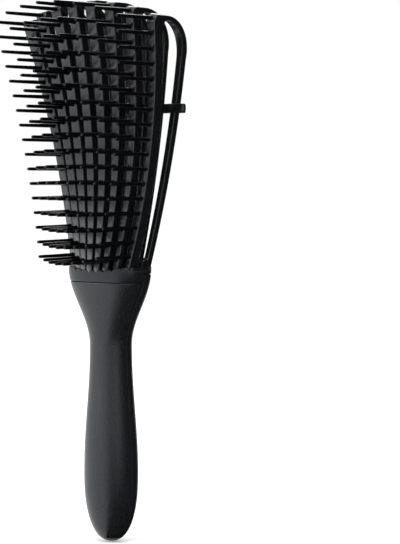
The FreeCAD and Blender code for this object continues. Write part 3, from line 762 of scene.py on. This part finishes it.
# The camera stands where the photograph's was
photo = {"azimuth": 38.0, "elevation": 3.0, "distance": 0.95, "aimHeight": 62.6, "aimRight": 39.8, "lens": 141.0}


# Unit vector from the brush towards an azimuth and an elevation
def lookFrom(azimuth, elevation):
    turn, tilt = np.radians(azimuth), np.radians(elevation)
    return np.array([np.sin(turn) * np.cos(tilt), -np.cos(turn) * np.cos(tilt), np.sin(tilt)])


# The studio: a round white floor, white all round, and a dark screen that only reflections see, on one side
studio = {
    "floorDrop": 58.3, "floorRadius": 6.0, "floorColour": 0.9, "glow": 0.2, "skyStrength": 1.0, "screenColour": 0.01,
    "screenMiddle": 131, "screenHalf": 59, "screenAway": 0.8, "screenTop": 1.6,
    "matFrom": 10, "matFoot": 0.001, "matLift": 0.002,
}


# A profile of radii and heights is carried round a share of a turn: x is radius by sin, y is minus radius by cos
def turnedMesh(name, radius, rise, azimuths):
    turn = np.radians(azimuths)[None, :]
    radius, rise = np.array(radius)[:, None], np.array(rise)[:, None]
    place = stack(radius * np.sin(turn), -radius * np.cos(turn), rise - studio["floorDrop"] * mm)
    mesh = bpy.data.meshes.new(name)
    mesh.from_pydata(place.reshape(-1, 3).tolist(), [], gridFaces(len(radius), len(azimuths), False))
    return mesh


def addStage(name, mesh, colour):
    thing = bpy.data.objects.new(name, mesh)
    scene.collection.objects.link(thing)
    paint = bpy.data.materials.new(name + "Paint")
    paint.use_nodes = True
    mesh.materials.append(paint)
    surface = paint.node_tree.nodes["Principled BSDF"]
    surface.inputs["Base Color"].default_value = (colour, colour, colour, 1)
    surface.inputs["Roughness"].default_value = 1
    surface.inputs["Specular IOR Level"].default_value = 0
    return thing, paint.node_tree, surface


floorRings = [0.0001, 0.3, 1, studio["floorRadius"]]
floorMesh = turnedMesh("floor", floorRings, [0] * len(floorRings), np.linspace(0, 360, 97))
floor, floorTree, floorSurface = addStage("floor", floorMesh, studio["floorColour"])
# The floor's glow is for what the camera and reflections see of it, and lights nothing
floorRay = floorTree.nodes.new("ShaderNodeLightPath")
floorSurface.inputs["Emission Color"].default_value = (1, 1, 1, 1)
seen = floorRay.outputs["Is Camera Ray"]
for ray in ("Is Glossy Ray", "Is Transmission Ray"):
    either = floorTree.nodes.new("ShaderNodeMath")
    either.operation = "MAXIMUM"
    floorTree.links.new(seen, either.inputs[0])
    floorTree.links.new(floorRay.outputs[ray], either.inputs[1])
    seen = either.outputs[0]
glow = floorTree.nodes.new("ShaderNodeMath")
glow.operation = "MULTIPLY"
glow.inputs[1].default_value = studio["glow"]
floorTree.links.new(seen, glow.inputs[0])
floorTree.links.new(glow.outputs[0], floorSurface.inputs["Emission Strength"])

# The screen stands away from the brush; its mat lies over the floor and reaches further round to the front
screenEnds = studio["screenMiddle"] - studio["screenHalf"], studio["screenMiddle"] + studio["screenHalf"]
for name, radius, rise, start in (
        ("darkScreen", [studio["screenAway"]] * 2, [studio["matLift"], studio["screenTop"]], screenEnds[0]),
        ("darkMat", [studio["matFoot"], studio["screenAway"]], [studio["matLift"]] * 2, studio["matFrom"])):
    screenMesh = turnedMesh(name, radius, rise, np.linspace(start, screenEnds[1], 33))
    screen = addStage(name, screenMesh, studio["screenColour"])[0]
    screen.visible_camera = False
    screen.visible_diffuse = False
    screen.visible_transmission = False
    screen.visible_shadow = False

world = bpy.data.worlds.new("studio")
scene.world = world
world.use_nodes = True
backdrop = world.node_tree.nodes["Background"]
backdrop.inputs["Color"].default_value = (1, 1, 1, 1)
backdrop.inputs["Strength"].default_value = studio["skyStrength"]


def softBox(name, place, aim, size, power):
    lamp = bpy.data.lights.new(name, "AREA")
    lamp.shape = "RECTANGLE"
    lamp.size, lamp.size_y = size
    lamp.energy = power
    box = bpy.data.objects.new(name, lamp)
    scene.collection.objects.link(box)
    box.location = place
    box.rotation_euler = (Vector(aim) - Vector(place)).to_track_quat("-Z", "Y").to_euler()


# Azimuth turns from the front to the +X side; each lamp looks at a point of the brush's axis, at the height aim
lamps = {
    "faceLamp": {"azimuth": -38, "elevation": 10, "away": 1.1, "size": (0.9, 0.3), "power": 4, "aim": 0.16},
    "edgeLamp": {"azimuth": 48, "elevation": 8, "away": 1.1, "size": (0.06, 0.8), "power": 0.7, "aim": 0.02},
    "glintLamp": {"azimuth": 30, "elevation": 55, "away": 1.1, "size": (0.06, 0.06), "power": 4, "aim": 0.14},
    "backLamp": {"azimuth": 226, "elevation": 30, "away": 1.1, "size": (0.5, 0.3), "power": 2, "aim": 0.1},
}
for name, v in lamps.items():
    middle = np.array([0, 0, v["aim"]])
    softBox(name, middle + v["away"] * lookFrom(v["azimuth"], v["elevation"]), middle, v["size"], v["power"])

toCamera = Vector(lookFrom(photo["azimuth"], photo["elevation"]))
sideways = Vector((np.cos(np.radians(photo["azimuth"])), np.sin(np.radians(photo["azimuth"])), 0))
aim = Vector((0, 0, photo["aimHeight"] * mm)) + sideways * (photo["aimRight"] * mm)
cameraData = bpy.data.cameras.new("photoCamera")
cameraData.lens = photo["lens"]
camera = bpy.data.objects.new("photoCamera", cameraData)
scene.collection.objects.link(camera)
camera.location = aim + toCamera * photo["distance"]
camera.rotation_euler = toCamera.to_track_quat("Z", "Y").to_euler()
scene.camera = camera
scene.view_settings.view_transform = "Standard"

print("scene done")
